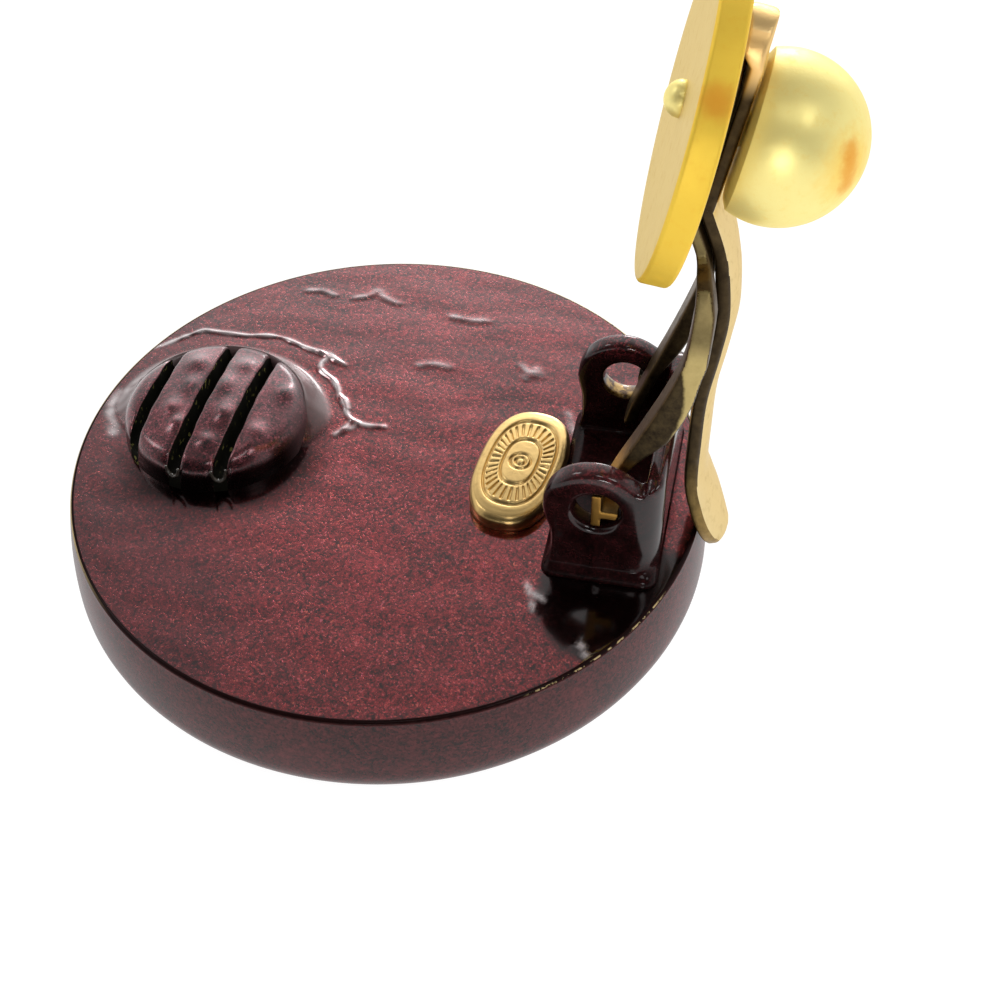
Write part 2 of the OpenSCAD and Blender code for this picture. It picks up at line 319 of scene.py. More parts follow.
def face_height(x, y):
    """Height of the lacquered back over its plane: long low ripples from sums of sines, the creep at the
    pad's foot, falling off outwards, and bells across the raised edge, drips and scuffs."""
    off, _, share, reach = creep(x, y)
    rise = 1.15 * share * np.clip(1 - (off - PAD_R + 0.05) / reach, 0, 1) ** 1.9
    rise = rise * smooth_step(PAD_R - 0.3, PAD_R - 0.05, off)
    wave = 0.6 * np.sin(1.9 * y + 0.5 * x + 1.2 * np.sin(0.6 * x))
    wave += 0.4 * np.sin(3.1 * y - 0.4 * x + np.sin(1.1 * x))
    fade = smooth_step(12.7, 12.0, np.hypot(x, y))
    height = rise * smooth_step(12.72, 12.3, np.hypot(x, y)) + 0.006 * wave * fade
    uneven = 0.8 + 0.35 * np.sin(4.1 * x) * np.cos(3.7 * y)
    height += 0.075 * uneven * near_line(x, y, RUN_EDGE, 0.05 + 0.07 * uneven) * fade
    for line in RUN_BRANCHES:
        height += 0.06 * uneven * near_line(x, y, line, 0.13)
    for line in SCUFFS + DRIPS:
        height += 0.035 * near_line(x, y, line, 0.16)
    return height


def face_coats(x, y):
    """Shares of three coats on the back: hazy, pooled round the pad, painted a pale grey as a stand-in for
    its reflection; pale, painted highlights on the raised edge, left of the pad and on drips, and on the
    scuffs, which are real; black, a painted shade, in front of the pad and in an oval by the bracket, where
    they are mirrored dark."""
    off, turn, share, reach = creep(x, y)
    # Lacquer pooled round the pad, without flakes, and painted a pale grey that stands in for its reflection.
    pool = share * smooth_step(PAD_R + 1.05 * reach, PAD_R + 0.55 * reach, off)
    broken = 0.6 + 0.4 * np.sin(5.3 * x + 2.0 * np.sin(3.1 * y)) * np.sin(4.7 * y + 1.0)
    # Painted highlights: pale on the raised edge, its branches and the drips, fainter on the real scuffs.
    pale = broken * near_line(x, y, RUN_EDGE, 0.03 + 0.09 * broken)
    for lines, most, width in ((RUN_BRANCHES + DRIPS, 1, 0.10), (SCUFFS, 0.45, 0.12)):
        for line in lines:
            pale = np.maximum(pale, most * broken * near_line(x, y, line, width))
    # Painted sheen: pale left of the pad and in a band along the edge there.
    left = share * smooth_step(-9.6, -11.2, x) * smooth_step(12.75, 12.5, np.hypot(x, y))
    left = left * smooth_step(PAD_R + 1.2, PAD_R + 0.7, off)
    left = np.maximum(left, 1.1 * near_line(x, y, LEFT_PAINTED_SHEEN, 0.22))
    pale = np.clip(np.maximum(pale, 0.75 * left * broken), 0, 1)
    # Painted shade in front of the pad, where its shadow and dark reflection lie on the lacquer.
    front = smooth_step(-0.1, 0.75, np.cos(turn + math.radians(68)))
    painted_shade = 0.93 * front * smooth_step(PAD_R + 0.4 + 1.9 * front, PAD_R + 0.3, off)
    # Painted shade in an oval by the bracket, where the glossy lacquer mirrors the dark bracket.
    oval = np.hypot((x - 10.6) / 3.35, (y + 5.4) / 3.3) + 0.02 * np.sin(5 * x) + 0.02 * np.sin(7 * y)
    return pool, pale, np.maximum(painted_shade, 0.92 * smooth_step(1.06, 0.94, oval))


def button_skin():
    """The button as one skin. Its rings leave the pad's middle and reach the back's edge, then follow a
    profile of radius and height round the edge, down the swollen wall and to the front."""
    a = circle(AROUND)
    edge_r = BACK_R - EDGE
    along = PAD_X * np.cos(a) + PAD_Y * np.sin(a)
    reach = -along + np.sqrt(along ** 2 + edge_r ** 2 - PAD_X ** 2 - PAD_Y ** 2)
    close = PAD_R + 0.75 * np.minimum(reach - PAD_R, 1.5)
    mid = np.minimum(7.2, close + 0.6 * (reach - close))
    stops = [0.6 + 0 * a, PAD_R - 0.4 + 0 * a, close, mid, reach]
    off = np.concatenate([stops[0][None]] + [p + (q - p) * np.arange(1, n + 1)[:, None] / n
                                             for p, q, n in zip(stops, stops[1:], (1, 19, 55, 87))])
    x, y = PAD_X + off * np.cos(a), PAD_Y + off * np.sin(a)
    face = np.stack([x, y, BACK + face_height(x, y)], -1)
    turn = np.arctan2(y[-1], x[-1])
    t = np.linspace(0, np.pi / 2, 9)[1:]
    edge = [edge_r + EDGE * np.sin(t), BACK - EDGE * (1 - np.cos(t))]
    z = np.linspace(BACK - EDGE, FRONT_ROUND, 16)[1:]
    wall = [RIM_R - (RIM_R - BACK_R) * ((z - FRONT_ROUND) / (BACK - EDGE - FRONT_ROUND)) ** 2, z]
    b = np.linspace(0, np.pi / 2, 11)[1:]
    front = [RIM_R - FRONT_ROUND + FRONT_ROUND * np.cos(b), FRONT_ROUND - FRONT_ROUND * np.sin(b)]
    flat = [[8.0, 4.0, 1.0], [0.0, 0.0, 0.0]]
    r, h = np.concatenate([edge, wall, front, flat], 1)[:, :, None]
    below = np.stack([r * np.cos(turn), r * np.sin(turn), h + 0 * turn], -1)
    rings = np.concatenate([face, below])
    return closed_rings(rings), face_coats(x, y), len(face), len(face) + len(t), len(rings)


def button(lacquer, edge, rim):
    """Flaked lacquer on the back, a worn edge with a painted shade round it, smooth lacquer on the rim, and
    the coats' shares, which carry a painted sheen, painted highlights and painted shade.
    """
    skin, coats, face_rows, edge_rows, rows = button_skin()
    obj = piece("button", skin, "button", [lacquer, edge, rim])
    row = np.arange(rows - 1)
    paint_rows(obj, np.where(row < face_rows - 1, 0, np.where(row < edge_rows - 1, 1, 2)), AROUND)
    for name, share in zip(("pooled", "pale", "painted_shade"), coats):
        value = np.zeros(len(obj.data.vertices))
        value[:share.size] = share.ravel()
        obj.data.attributes.new(name, "FLOAT", "POINT").data.foreach_set("value", value)
    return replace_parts(obj, "button_disc")


# The slotted pad

GROOVES = [-2.6, -0.44, 1.45]
GROOVE_HALF = 0.25
GROOVE_FLOOR = 0.5
GROOVE_TURN = math.radians(-3)
# Swellings of the lacquer on the pad: x and y from its middle, height, width and length
LUMPS = [[-1.55, -0.9, 0.13, 0.36, 0.5], [-1.05, -1.75, 0.12, 0.36, 0.4], [0.75, -0.9, 0.16, 0.36, 0.55],
         [0.45, -2.45, 0.12, 0.4, 0.4], [2.85, 1.0, 0.12, 0.36, 0.5], [0.7, 2.2, 0.11, 0.4, 0.5],
         [-1.3, 1.95, 0.12, 0.45, 0.5], [2.3, -1.55, 0.13, 0.36, 0.5], [-1.2, 0.5, 0.10, 0.3, 0.5],
         [0.3, 0.8, 0.11, 0.3, 0.6], [2.2, -2.3, 0.10, 0.36, 0.4]]


def pad_columns():
    """Places of the pad's cross-sections, across the grooves: the place, its distance from the nearest
    groove's side, and the groove that it lies in, if any."""
    plain = PAD_R * 0.9995 * np.sin(np.linspace(-np.pi / 2, np.pi / 2, 110))
    places = [(b, min(abs(b - g) for g in GROOVES) - GROOVE_HALF, None) for b in plain]
    places = [row for row in places if row[1] > 0.42]
    for g in GROOVES:
        for d in (0.0, 0.01, 0.03, 0.06, 0.1, 0.15, 0.21, 0.28, 0.36):
            places += [(g + side * (GROOVE_HALF + d + 0.004), d, None) for side in (-1, 1)]
        places += [(g + GROOVE_HALF * k, 0, g) for k in (-1, -0.8, -0.5, 0, 0.5, 0.8, 1)]
    return sorted(places)


def pad_profile():
    """The pad's outline from foot to crown, as radius and height: a side that leans in by a hair, a round
    edge and a low crown."""
    wall = np.array([[PAD_R + 0.08, -0.05], [PAD_R + 0.04, 0.3], [PAD_R + 0.03, 0.55]])
    t = np.linspace(0, 1.3, 16)
    r = 0.75
    edge = np.column_stack([PAD_R + 0.02 - r + r * np.cos(t), PAD_SIDE - r * 0.7 + r * np.sin(t)])
    (edge_r, edge_h), rho = edge[-1], np.linspace(edge[-1, 0], 0, 40)[1:]
    top = edge_h + (PAD_H - edge_h) * (1 - (rho / edge_r) ** 2.2)
    return np.concatenate([wall, edge, np.column_stack([rho, top])])


def pad_lumps(x, y):
    """Height of the swellings: bells at the places of LUMPS, over a slow wander of two sines."""
    height = 0.03 * np.sin(1.7 * x + 0.8) * np.sin(1.3 * y + 0.4)
    for at_x, at_y, tall, wide, long in LUMPS:
        height = height + tall * bell(x, PAD_X + at_x, wide) * bell(y, PAD_Y + at_y, long)
    return height


def pad_skin():
    """Cross-sections side by side, each the profile cut by a plane: a point at radius r lies at the root of r
    squared less the plane's distance squared. A groove holds the height down to a round floor, and each
    land's edges are rounded off."""
    rho, top = pad_profile().T
    arc = np.concatenate([[0], np.cumsum(np.hypot(np.diff(rho), np.diff(top)))])
    share = np.concatenate([np.linspace(0, 0.28, 10), np.linspace(0.28, 0.44, 22)[1:],
                            np.linspace(0.44, 1, 34)[1:]])
    under = np.linspace(0, 1, 6)[1:-1]
    rings = []
    for b, clear, groove in pad_columns():
        at = np.interp(abs(b), rho[::-1], arc[::-1]) * share
        r, z = np.interp(at, arc, rho), np.interp(at, arc, top)
        a = np.sqrt(np.clip(r ** 2 - b ** 2, 0, None))
        a = a * (1 - 0.6 * rounding(0.3, clear) * smooth_step(0.2, 1.0, z) / PAD_R)
        a, z = np.concatenate([-a, a[-2::-1]]), np.concatenate([z, z[-2::-1]])
        wobble = 0.015 * np.sin(1.9 * a + 2.3 * b) + 0.012 * np.sin(5.1 * a + b)
        x = b + wobble * smooth_step(0.4, 0.7, z) * smooth_step(0.6, 0.2, clear)
        px, py = spun(x, a, GROOVE_TURN, PAD_AT)
        z = z + (pad_lumps(px, py) - rounding(0.12, clear)) * smooth_step(0.9, 1.25, z)
        if groove is not None:
            z = np.minimum(z, GROOVE_FLOOR + rounding(GROOVE_HALF, GROOVE_HALF - abs(b - groove)))
        px, py = (np.concatenate([v, v[-1] + (v[0] - v[-1]) * under]) for v in (px, py))
        rings.append(np.column_stack([px, py, BACK + np.concatenate([z, 0 * under - 0.05])]))
    return closed_rings(rings)


def slotted_pad(lacquer, painted_shade):
    """The pad, with its grooves' walls and floors in black, a painted shade."""
    skin = pad_skin()
    obj = piece("pad", skin, "button", [lacquer, painted_shade], sharp=70)
    sunk = np.array([clear < 0.02 for _, clear, _ in pad_columns()])
    paint_rows(obj, sunk[1:] & sunk[:-1], (len(skin[0]) - 2) // len(sunk))
    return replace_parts(obj, "slotted_pad")


def groove_lips(film):
    """Lacquer that hangs in a U at the near end of two grooves: a thin round bead carried along the U."""
    t = np.linspace(-1.05, 1.05, 40) * np.pi / 2
    w = circle(14)[:, None]
    thick = (0.055 + 0.035 * np.cos(t))[:, None, None]
    for k, deep in ((1, 0.55), (2, 0.65)):
        u, z = GROOVES[k] + (GROOVE_HALF + 0.02) * np.sin(t), PAD_SIDE - 0.1 - (deep - 0.1) * np.cos(t)
        a = -np.sqrt(PAD_R ** 2 - u ** 2) - 0.02
        line = np.column_stack([*spun(u, a, GROOVE_TURN, PAD_AT), BACK + z])
        way = unit(np.gradient(line, axis=0))
        side = unit(np.cross(way, [0, 1, 0]))
        over = np.cross(way, side)
        ring = line[:, None] + thick * (side[:, None] * np.cos(w) + over[:, None] * np.sin(w))
        obj = piece("groove_lip_%d" % k, closed_rings(ring), "button", [film])


# The plaque

PLAQUE_AT = (5.47, 0.5)
PLAQUE_TURN = math.radians(-6.5)


def plaque(gilt):
    """A cushion-shaped plate with an oval outline. Inside its soft edge run an engraved line, a row of ticks,
    a second line, and two rings round the middle."""
    half_x, half_y, top, soft = 1.78, 3.2, 0.75, 0.36
    u, v = round_box_ring(520, 2.5, 0.5)
    ox, oy = half_x * u, half_y * v
    t = np.linspace(0.1, np.pi / 2, 9)
    shoulder = 1 - 0.9 * soft / half_x * (1 - np.cos(t))
    share = np.concatenate([[1, 1, 1], shoulder, np.linspace(0.79, 0.03, 62)])
    height = np.concatenate([[-0.02, 0.18, 0.34], top - soft * (1 - np.sin(t)), np.full(62, top)])
    share, height = share[:, None], height[:, None]
    x, y = share * ox, share * oy
    line = bell(share, 0.74, 0.022) + bell(share, 0.40, 0.022)
    run = np.cumsum(np.hypot(np.diff(ox, append=ox[:1]), np.diff(oy, append=oy[:1])))
    ticks = smooth_step(0.69, 0.66, share) * smooth_step(0.45, 0.48, share)
    ticks = ticks * smooth_step(0.1, 0.75, np.cos(run * 2 * np.pi * 34 / run[-1]))
    middle = np.hypot(x, y)
    rings = bell(middle, 0.42, 0.05) + bell(middle, 0.2, 0.05)
    crown = (0.05 - 0.10 * share ** 2) * (height > 0.7)
    z = height + crown - 0.10 * line - 0.09 * ticks - 0.09 * rings
    place = np.stack([*spun(x, y, PLAQUE_TURN, PLAQUE_AT), BACK + z], -1)
    obj = piece("plaque_plate", closed_rings(place), "button", [gilt])
    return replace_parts(obj, "plaque")


# The hinge bracket

EAR_IN = 3.25
EAR_OUT = 4.15
WALL_HALF = 0.4
WALL_TOP = 5.05
BEND_R = 1.0
SUNK = BACK - 0.05


def corner_limit(y):
    """How far out the bracket reaches at y, its back corners being arcs in plan."""
    past = np.clip(np.abs(y) - (EAR_OUT - BEND_R), 0, BEND_R)
    return WALL_OUT - BEND_R + np.sqrt(BEND_R ** 2 - past ** 2)


def ear_reach(a, ear_r):
    """How far the ear's outline lies from the hinge axis at angle a: its round end and the block below,
    melted together as the 14th root of the sum of their 14th powers."""
    c, s = np.cos(a), np.sin(a)
    shift, low = 0.1, BACK - HINGE_Z
    round_end = -shift * c + np.sqrt((shift * c) ** 2 + ear_r ** 2 - shift ** 2)

    def block(x0, z1):
        tx = np.where(c > 0, WALL_OUT - HINGE_X, x0) / np.where(np.abs(c) < 1e-9, 1e-9, c)
        tz = np.where(s > 0, z1, low) / np.where(np.abs(s) < 1e-9, 1e-9, s)
        return np.maximum(np.minimum(tx, tz), 0)
    return (round_end ** 14 + np.maximum(block(-1.75, 0), block(0, 1.2)) ** 14) ** (1 / 14)


def ear(side, ear_r):
    """A pierced ear as a ring round the hinge axis. Its section runs out over the inner face, round the
    outline, back over the outer face and through the hole with its soft mouth."""
    a = circle(220)
    reach = ear_reach(a, ear_r)
    q = np.linspace(0, np.pi / 2, 7)
    hole, mouth, tight, soft = 0.9, 1.12, 0.2, 0.32
    rows = [(hole + 0.06 + k * (reach - tight - hole), EAR_IN) for k in (0, 0.25, 0.5, 0.75)]
    rows += [(reach - tight + tight * np.sin(t), EAR_IN + tight * (1 - math.cos(t))) for t in q]
    rows += [(reach - soft + soft * np.cos(t), EAR_OUT - soft + soft * math.sin(t)) for t in q]
    rows += [(mouth + k * (reach - soft - mouth), EAR_OUT) for k in (0.75, 0.5, 0.25)]
    rows += [(mouth - (mouth - hole) * math.sin(t) + 0 * a, EAR_OUT - 0.4 * (1 - math.cos(t))) for t in q]
    rows += [(hole + 0 * a, EAR_IN + 0.06)]
    rho, y = (np.array(part) for part in zip(*rows))
    y = y[:, None]
    x = np.minimum(HINGE_X + rho * np.cos(a), corner_limit(y))
    z = np.maximum(HINGE_Z + rho * np.sin(a), SUNK)
    run = np.clip(1 - (z - BACK) / 1.4, 0, 1) ** 2
    x = x - 0.25 * run * smooth_step(-0.6, -1.7, x - HINGE_X)
    y = y + 0.32 * run * smooth_step(EAR_IN + 0.3, EAR_OUT, y)
    return torus_rings(np.stack([x, side * y, z], -1))


def back_wall():
    """The wall behind the hinge: a soft upright section carried from ear to ear."""
    u, v = round_box_ring(48, 5)
    y = EAR_OUT * np.sin(np.linspace(-np.pi / 2, np.pi / 2, 60))[:, None] * 0.985
    x = np.minimum(WALL_OUT - WALL_HALF + WALL_HALF * u, corner_limit(y))
    z = BACK + WALL_TOP / 2 * (1 + v * (1 - 0.10 * smooth_step(3.3, 4.1, np.abs(y))))
    return closed_rings(np.stack([x, np.broadcast_to(y, x.shape), np.maximum(z, SUNK)], -1))


def foot():
    """The foot: a slab whose outline, a rectangle with arcs for corners, gets smaller at each level."""
    a = circle(160)
    corner, middle, half = 0.5, (WALL_OUT + FOOT_IN) / 2, (WALL_OUT - FOOT_IN) / 2
    rings = []
    for inset, height in ((-0.05, -0.05), (0, 0.12), (0.1, 0.32), (0.28, 0.44), (0.5, 0.5)):
        r = max(corner - inset, 0.02)
        x = np.sign(np.cos(a)) * (half - corner) + r * np.cos(a)
        y = np.sign(np.sin(a)) * (4.6 - corner) + r * np.sin(a)
        rings.append(np.column_stack([middle + x, y, BACK + height + 0 * a]))
    return closed_rings(rings)


def hinge_bracket(lacquer):
    """Ears, wall and foot melted into one lacquered skin."""
    mesh = fused("bracket", [ear(-1, 2.0), ear(1, 1.85), back_wall(), foot()], 0.065, 14)
    obj = piece("bracket", mesh, "button", [lacquer])
    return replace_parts(obj, "hinge_bracket")


# The clip

# An arm of the frame: height over the back, inner edge, outer edge, share of the sideways skew
ARM = [[2.3, 9.2, 9.7, 1], [3.4, 9.48, 9.98, 1], [4.4, 9.83, 10.3, 1], [5.15, 10.1, 10.58, 0.8],
       [6.5, 10.62, 11.36, 0.6], [8.2, 11.24, 12.02, 0.3], [9.75, 11.66, 12.26, 0.1], [10.8, 11.92, 12.42, 0]]
# The tongue's middle line: height over the back, distance from the button's middle
TONGUE = [[-0.75, 13.62], [0.35, 13.2], [1.5, 12.8], [2.7, 12.5], [4.75, 12.47], [7.15, 12.52],
          [9.45, 12.82], [11.3, 12.98]]
# The tongue's half width as a share of 1.72, by its height over the back
TONGUE_SIDE = [[-1.2, 0.42], [-0.75, 0.62], [-0.2, 0.82], [0.6, 0.95], [1.6, 0.91], [2.8, 0.78], [4, 0.72]]
# Where frame and tongue bend away from the head: x and height over the back, and the place up the plate
JOINT = [12.26, 13.4]
LEAVE = -2.8
# Half widths of the strap, the window and the shoulder, and how far the arms are skewed
STRAP = 1.6
ARM_IN = 1.9
ARM_OUT = 3.1
SKEW = 0.2
# How far the near arm's outer side is bent out, by its height over the back
FLARE = [[4.6, 0], [5.6, 0.16], [6.5, 0.38], [8.2, 0.34], [9.75, 0.44], [10.8, 0.40], [12.5, 0.34],
         [13.6, 0.12], [15, 0]]
TONGUE_END = 4.4
TONGUE_HALF = 1.3
LUG_R = 0.82


def frame_line():
    """The frame's middle line from head to pivot, as points of x and height, with half its thickness."""
    arm = [[(x0 + x1) / 2, BACK + z, (x1 - x0) / 2] for z, x0, x1, _ in ARM][::-1]
    arm[0][2] = arm[1][2] = FRAME_T / 2
    head = [[*head_line(LEAVE, FRAME_D), FRAME_T / 2], [JOINT[0], BACK + JOINT[1], FRAME_T / 2]]
    return bend(head + arm, 9)


def frame_half(side):
    """A soft flat section carried from the strap's round end down one arm. The width follows strap, shoulder
    and arm, the inner edge leaves the middle where the window begins, and the near arm is bent out by
    FLARE."""
    up = np.linspace(0, np.pi / 2, 12)[:0:-1]
    end = 2.9 - STRAP
    head = np.concatenate([end + STRAP * np.sin(up), np.linspace(end, LEAVE, 14)[:-1]])
    line = np.concatenate([[[*head_line(u, FRAME_D), FRAME_T / 2] for u in head], frame_line()])
    x, z, t = line.T
    h = z - BACK
    lift = np.clip((h - 10.95) / 3, 0, 1)
    width = np.where(h < 14, STRAP + (ARM_OUT - STRAP) * np.sqrt(1 - lift ** 2), STRAP)
    width[:len(up)] = STRAP * np.cos(up)
    fall = np.clip((h - 9.7) / 1.1, 0, 1)
    inner = np.where(h < 10.8, ARM_IN * np.sqrt(1 - fall ** 2), -0.06)
    x = x + side * SKEW * np.interp(h, [row[0] for row in ARM], [row[3] for row in ARM])
    blend = smooth_step(9.0, 10.8, h)[:, None]
    out_x, out_z = (np.array([1.0, 0.0]) * (1 - blend) - square_to(line[:, :2]) * blend).T[:, :, None]
    u, v = round_box_ring(40, 6)
    y = (inner + width)[:, None] / 2 + (width - inner)[:, None] / 2 * u
    flare = np.interp(h, *np.array(FLARE).T)[:, None] * smooth_step(1.45, 1.8, y) * (v > 0) * (side < 0)
    thick = t[:, None] * v + flare
    return closed_rings(np.stack([x[:, None] + out_x * thick, side * y, z[:, None] + out_z * thick], -1))


def lug(side, x, z):
    """A bar along the hinge on one side. Its outline's points, in order, are given from the hinge axis."""
    return closed_rings([np.column_stack([HINGE_X + x, np.full(len(x), y), HINGE_Z + z])
                         for y in sorted((side * 3.0, side * 4.03))])


def lugs():
    """The near lug, a T whose outer edges lie on the bearing circle, and the far one, the part of that circle
    beyond a chord."""
    web, low = np.linspace(-0.2, 0.16, 7), np.linspace(-0.36, 0, 6)
    tall = np.sqrt(LUG_R ** 2 - web ** 2)
    a = np.linspace(-0.88, 0.88, 14)
    return [lug(-1, np.append(web, web[::-1]), np.append(tall, -tall[::-1])),
            lug(-1, np.append([0, 0], np.sqrt(LUG_R ** 2 - low ** 2)), np.append([0, low[0]], low)),
            lug(1, LUG_R * np.cos(a), LUG_R * np.sin(a))]


def clip_frame(brass, edge):
    """The frame's halves and lugs melted into one, with a finish of their own on the side faces."""
    mesh = fused("frame", [frame_half(-1), frame_half(1), *lugs()], 0.05, 3)
    obj = sides_apart(piece("frame", mesh, "clip", [brass, edge]), 0.8)
    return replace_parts(obj, "clip_frame")


def tongue_skin():
    """A flat section, crowned on its outer side, carried up from the flared heel and, from the joint upwards,
    along the frame."""
    high = frame_line()[:, :2]
    high = high[high[:, 1] - BACK > JOINT[1] - 0.2][::-1]
    high = high + (TONGUE_D - FRAME_D) * square_to(high)
    low = bend([[x, BACK + z] for z, x in TONGUE] + [high[0].tolist()], 12)[:-1]
    t = np.linspace(0, 1.5, 9)[1:]
    end = TONGUE_END - TONGUE_HALF
    head = np.concatenate([np.linspace(LEAVE, end, 22)[1:], end + TONGUE_HALF * np.sin(t)])
    line = np.concatenate([low, high, [head_line(u, TONGUE_D) for u in head]])
    h = line[:, 1] - BACK
    width = np.where(h > 4, TONGUE_HALF, 1.72 * np.interp(h, *np.array(bend(TONGUE_SIDE, 8)).T))
    width[-len(t):] = TONGUE_HALF * np.cos(t)
    u, v = round_box_ring(64, 5)
    crown = 0.26 * (1 - smooth_step(12.5, 15, h))[:, None] * (1 - u ** 2) * (v > 0)
    knob = smooth_step(2.75, 3.3, (h + BACK - HEAD_Z) / math.cos(LEAN))[:, None]
    thick = TONGUE_T / 2 * v * (1 + 0.6 * knob) + crown - 0.24 * knob
    (x, z), (out_x, out_z) = line.T[:, :, None], square_to(line).T[:, :, None]
    return closed_rings(np.stack([x + out_x * thick, width[:, None] * u, z + out_z * thick], -1))


def sides_apart(obj, lean=0.55):
    """Gives the second material to faces that look sideways, along the hinge."""
    normal = np.zeros(len(obj.data.polygons) * 3)
    obj.data.polygons.foreach_get("normal", normal)
    return paint(obj, np.abs(normal[1::3]) > lean)


def spring_tongue(brass, edge):
    """The tongue, with a finish of their own on its side faces."""
    obj = sides_apart(piece("tongue", tongue_skin(), "clip", [brass, edge], sharp=60))
    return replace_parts(obj, "spring_tongue")


def pad_plate(face, rim):
    """A flat disc with a soft edge, its inner face dished by a hair, turned about the head's axis."""
    half, edge, n = PLATE_T / 2, 0.16, 300
    flat = PLATE_R - edge
    q = np.linspace(0, np.pi / 2, 8)
    rows = [(r, -half + 0.05 * (1 - (r / flat) ** 2)) for r in (0.4, 2, 3.6, 4.8)]
    rows += [(flat + edge * math.sin(t), -half + edge * (1 - math.cos(t))) for t in q]
    rows += [(flat + edge * math.cos(t), half - edge * (1 - math.sin(t))) for t in q]
    rows += [(r, half) for r in (4.6, 2, 0.4)]
    obj = piece("plate", turned(rows, n, to_head), "clip", [face, rim])
    row = np.arange(len(rows) - 1)
    paint_rows(obj, (row >= 5) & (row < 17), n)
    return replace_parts(obj, "pad_plate")


def ball_stud(gilt):
    """The ball, cut flat below, the rivet's low round head on the plate, and the shank between them, each
    turned about the head's axis."""
    low = math.acos(-FLAT / BALL_R)
    ball = [(0.5, BALL_D - FLAT), (BALL_R * math.sin(low) - 0.25, BALL_D - FLAT)]
    ball += [(BALL_R * math.sin(t), BALL_D + BALL_R * math.cos(t)) for t in np.linspace(low - 0.06, 0.02, 90)]
    skin = turned(ball, 180, lambda u, v, w: to_head(u, v + 0.22, w, BALL_TURN))
    obj = piece("ball", skin, "clip", [gilt], sharp=40)
    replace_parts(obj, "ball_stud")
    base = -PLATE_T / 2 - 0.02
    head = [(0.3, base + 0.3), (0.62, base + 0.3)]
    head += [(0.62 * math.cos(t), base - 0.55 * math.sin(t)) for t in np.linspace(0, 1.45, 10)]
    skin = turned(head, 48, lambda u, v, w: to_head(u + 0.55, v, w))
    piece("rivet", skin, "clip", [gilt])
    shank = [(0.2, PLATE_T / 2 - 0.2), (0.6, PLATE_T / 2 - 0.2), (0.6, BALL_D - 1), (0.2, BALL_D - 1)]
    return piece("shank", turned(shank, 40, to_head), "clip", [gilt])


# Finishes

def operator(kind):
    """An operator that adds a Math node of a kind, and its reflected form."""
    def plain(self, other):
        return self.math(kind, self, other)

    def reflected(self, other):
        return self.math(kind, other, self)
    return plain, reflected


class Number:
    """A value from a node's socket. Sums, products and the like on it add Math nodes."""

    __add__, __radd__ = operator("ADD")
    __sub__, __rsub__ = operator("SUBTRACT")
    __mul__, __rmul__ = operator("MULTIPLY")
    __truediv__, __rtruediv__ = operator("DIVIDE")
    __pow__, __rpow__ = operator("POWER")

    def __init__(self, work, socket):
        self.work, self.socket = work, socket

    def math(self, kind, a, b, clamp=False):
        return self.work.node("ShaderNodeMath", {"operation": kind, "use_clamp": clamp}, {0: a, 1: b})

    def held(self):
        """Clamped to between 0 and 1."""
        return self.math("ADD", self, 0, clamp=True)


class Nodes:
    """A node tree, and the few kinds of node that the finishes and the room are made of."""

    def __init__(self, tree):
        self.tree = tree

    def node(self, kind, settings=None, sockets=None, out=0):
        """A node of a kind, with its settings first and then its sockets' values or links."""
        made = self.tree.nodes.new(kind)
        for key, value in (settings or {}).items():
            if key == "stops":
                for k, (at, colour) in enumerate(value):
                    stop = made.color_ramp.elements[k] if k < 2 else made.color_ramp.elements.new(at)
                    stop.position, stop.color = at, (*colour, 1)
            else:
                setattr(made, key, value)
        for key, value in (sockets or {}).items():
            if isinstance(value, Number):
                self.tree.links.new(value.socket, made.inputs[key])
            else:
                made.inputs[key].default_value = value
        return Number(self, made.outputs[out])

    def split(self, vector, k):
        """The k-th part of a vector."""
        return self.node("ShaderNodeSeparateXYZ", sockets={0: vector}, out=k)

    def step(self, low, high, x):
        """0 below low, 1 above high and a smooth rise between."""
        return self.node("ShaderNodeMapRange", {"interpolation_type": "SMOOTHSTEP"},
                         {"Value": x, "From Min": low, "From Max": high})

    def mix(self, share, a, b):
        """Colour a at a share of 0 and colour b at 1."""
        a, b = ((*c, 1) if isinstance(c, tuple) and len(c) == 3 else c for c in (a, b))
        return self.node("ShaderNodeMix", {"data_type": "RGBA"}, {0: share, 6: a, 7: b}, out=2)


